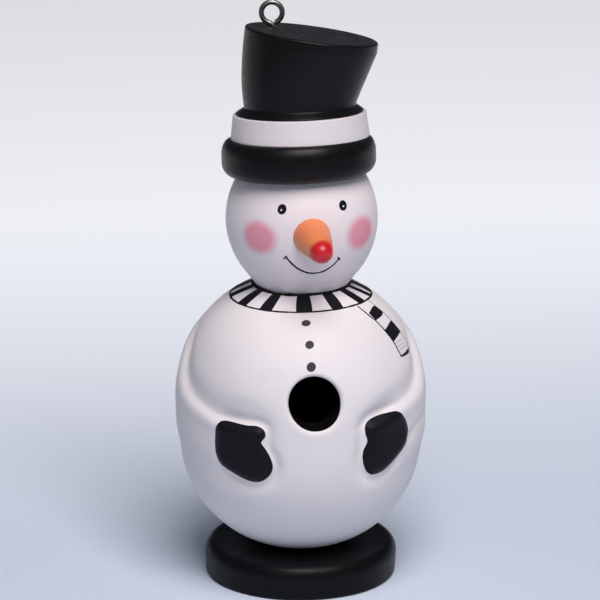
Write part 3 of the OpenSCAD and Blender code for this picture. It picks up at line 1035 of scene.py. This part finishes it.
def dull_steel(name):
    """Zinc-plated wire, slightly mottled, with fine drawing lines."""
    s = Shader(name)
    mottle = s.noise(420, Detail=4.0, Roughness=0.65)
    lines = s.noise(2600, (1, 1, 0.2), Detail=2.0)
    colour = s.mixed(s.ranged(mottle, 0, 1), (0.30, 0.275, 0.26), (0.16, 0.145, 0.135))
    s.feed(s.surface, {"Metallic": 1.0})
    s.bump(s.sum(lines, mottle, 0.7), 0.03)
    return s.finish(colour, s.ranged(mottle, 0.26, 0.46))


def matte_paint(name, colour, roughness):
    """A brushed mark: one paint with fine brush relief."""
    s = Shader(name)
    brush = s.noise(700, (1, 1, 2), Detail=3.0)
    lighter = tuple(c * 1.5 for c in colour)
    s.feed(s.surface, {"Specular IOR Level": 0.15})
    s.bump(brush, 0.015)
    made = s.mixed(s.ranged(brush, 0, 1, 0.35, 0.75), colour, lighter)
    return s.finish(made, s.ranged(brush, roughness, roughness + 0.14))


def floor_paper():
    """Pale paper with painted light: it glows softly behind the figure, more towards the back, as a lit
    studio sweep does, though it is no lamp.
    """
    s = Shader("floor_paper")
    fine = s.noise(300, Detail=2.0)
    s.bump(fine, 0.05)
    backwards = s.node("ShaderNodeSeparateXYZ", {0: s.place}).outputs["Y"]
    painted_light_from, painted_light_full, painted_light = -0.05, 0.9, 0.5
    strength = s.ranged(backwards, 0, painted_light, painted_light_from, painted_light_full, "SMOOTHSTEP")
    # Painted light: the emission stands in for studio light falling on the paper behind the figure.
    s.feed(s.surface, {"Emission Color": (1, 0.96, 0.9, 1), "Emission Strength": strength})
    return s.finish(s.mixed(s.ranged(fine, 0, 1), (0.62, 0.71, 0.84), (0.65, 0.73, 0.86)), 0.9)


# ---------------- the figure

def build_wood():
    """The carved and turned pieces that replace CAD nodes, and the screw eye."""
    cheeks = [tuple(head_surface(a, h)) for a, h in ((-40.8, 209.3), (44.6, 209.8))]
    pink, inner, outer, strength = (0.80, 0.205, 0.30), 7, 14.5, 0.83
    body_white = painted_wood("white_paint_body", (0.83, 0.79, 0.805), (0.80, 0.76, 0.78), 0.5, gloss=0.3)
    head_white = painted_wood("white_paint_head", (0.86, 0.785, 0.80), (0.83, 0.755, 0.775), 0.5, gloss=0.3,
                              spots=[(cheek, inner, outer, pink, strength) for cheek in cheeks])
    band_white = painted_wood("white_paint_band", (0.77, 0.715, 0.74), (0.71, 0.66, 0.69), 0.5,
                              streaks=(1, 1, 9), streaky=0.5, depth=0.07)
    blacker = (0.004, 0.004, 0.0045)
    hat_black = painted_wood("black_paint_hat", (0.006, 0.006, 0.0065), blacker, 0.33, gloss=0.2)
    base_black = painted_wood("black_paint_base", (0.005, 0.0055, 0.007), blacker, 0.36, gloss=0.14)
    # The bore and its rim are painted black; the nest cavity's wall gets the same near-black colour, which is
    # painted shade inside the hollow.
    dark = painted_wood("bore_black_and_painted_cavity_shade", (0.003, 0.003, 0.003), (0.005, 0.0045, 0.0045), 0.85, depth=0.15,
                        gloss=0.03)

    for front, name, node in ((True, "figure_front", "body_front"), (False, "figure_back", "body_back")):
        counts = (110, 190, 108, 28) if front else (80, 130, 70, 18)
        shape, within = half_body(front, *counts)
        make_piece(name, shape, body_white, [node], inside=(within, dark))
    make_piece("figure_head", head_shape(), head_white, ["head"])
    make_piece("carrot_nose", nose_shape(), nose_paint(), ["nose"])
    make_piece("brim", brim_shape(), hat_black, ["hat_brim"])
    make_piece("band", band_shape(), band_white, ["hat_band"])
    make_piece("crown", crown_shape(), hat_black, ["hat_crown"], sharp=50)
    make_piece("round_base", base_shape(), base_black, ["base_disc"], body="base")
    make_piece("hanging_eye", screw_eye_shape(), dull_steel("eye_steel"), ["screw_eye"])


def build_marks():
    """The painted mittens, scarf, buttons and face."""
    mark = matte_paint("black_marks", (0.005, 0.005, 0.007), 0.45)
    grey_mark = matte_paint("grey_marks", (0.042, 0.036, 0.042), 0.5)
    thin_mark = matte_paint("thin_marks", (0.007, 0.0065, 0.009), 0.5)
    dot = matte_paint("white_dots", (0.75, 0.74, 0.76), 0.35)
    for name, arm in ARMS.items():
        mitten = paint_patch(smooth_line(arm["mitten"], 5, True), body_surface, BODY_R)
        make_piece(f"mitten_{name}", mitten, mark)
    for name, shape, paint in (
            ("scarf_stripes", scarf_stripes(), mark), ("scarf_lines", scarf_lines(), thin_mark),
            ("scarf_tail", scarf_tail(), thin_mark), ("painted_buttons", buttons(), grey_mark),
            ("painted_eyes", painted_eyes(), mark)):
        make_piece(name, shape, paint)
    make_piece("eye_lights", eye_lights(), dot)
    make_piece("smile", smile(), thin_mark)


def finish_cad_nodes():
    """Wood and steel for the nodes that keep their CAD shape."""
    finishes = {
        "bottom_plug": bare_wood("plug_wood", "Z"), "body_dowels": bare_wood("seam_dowel_wood", "Y"),
        "neck_dowel": bare_wood("neck_dowel_wood", "Z"), "hat_dowel": bare_wood("hat_dowel_wood", "Z"),
        "pivot_screw": dull_steel("screw_steel"), "pivot_washer": dull_steel("washer_steel"),
    }
    for node, material in finishes.items():
        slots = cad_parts[node].data.materials
        slots.clear()
        slots.append(material)


# ---------------- the studio

CAMERA_TURN = 6.5
CAMERA_DISTANCE = 2002
CAMERA_HEIGHT = 732
CAMERA_PITCH = 15.87
CAMERA_ASIDE = -0.4
LENS = 218.2
LIT_HEIGHT = 170
FLOOR_HALF = 25000


def place_camera():
    """A long lens that looks down on the figure, from a little towards -X."""
    turn = spin(-CAMERA_TURN, "Z")
    data = bpy.data.cameras.new("camera")
    data.lens = LENS
    data.clip_end = 50
    camera = linked("camera", data)
    camera.location = turn @ Vector((CAMERA_ASIDE * MM, -CAMERA_DISTANCE * MM, CAMERA_HEIGHT * MM))
    camera.rotation_euler = (math.radians(90 - CAMERA_PITCH), 0, math.radians(-CAMERA_TURN))
    bpy.context.scene.camera = camera


def softbox(name, azimuth, elevation, distance, size, power, colour):
    """An area light aimed at the figure's middle. Azimuth 0 is the front, growing towards +X."""
    target = Vector((0, 0, LIT_HEIGHT * MM))
    a, e = math.radians(azimuth), math.radians(elevation)
    away = Vector((math.sin(a) * math.cos(e), -math.cos(a) * math.cos(e), math.sin(e)))
    data = bpy.data.lights.new(name, "AREA")
    data.shape = "RECTANGLE"
    data.size, data.size_y = size
    data.energy = power
    data.color = colour
    light = linked(name, data)
    light.location = target + away * distance
    light.rotation_mode = "QUATERNION"
    light.rotation_quaternion = away.to_track_quat("Z", "Y")


def build_studio():
    """Floor, faint sky light, and two soft boxes."""
    mesh = bpy.data.meshes.new("floor")
    half = FLOOR_HALF * MM
    corners = [(-half, -half, 0), (half, -half, 0), (half, half, 0), (-half, half, 0)]
    mesh.from_pydata(corners, [], [(0, 1, 2, 3)])
    mesh.materials.append(floor_paper())
    floor = linked("floor", mesh)
    world = bpy.data.worlds.new("studio")
    world.use_nodes = True
    sky = world.node_tree.nodes["Background"].inputs
    sky["Color"].default_value = (0.62, 0.72, 0.92, 1)
    sky["Strength"].default_value = 0.10
    bpy.context.scene.world = world
    softbox("key", 9, 59, 2.6, (1.5, 1.7), 74, (1, 0.945, 0.935))
    softbox("fill", -28, 40, 3.0, (1.8, 1.8), 3, (0.98, 0.97, 1))
    bpy.context.scene.view_settings.view_transform = "Standard"


place_camera()
build_wood()
build_marks()
finish_cad_nodes()
build_studio()
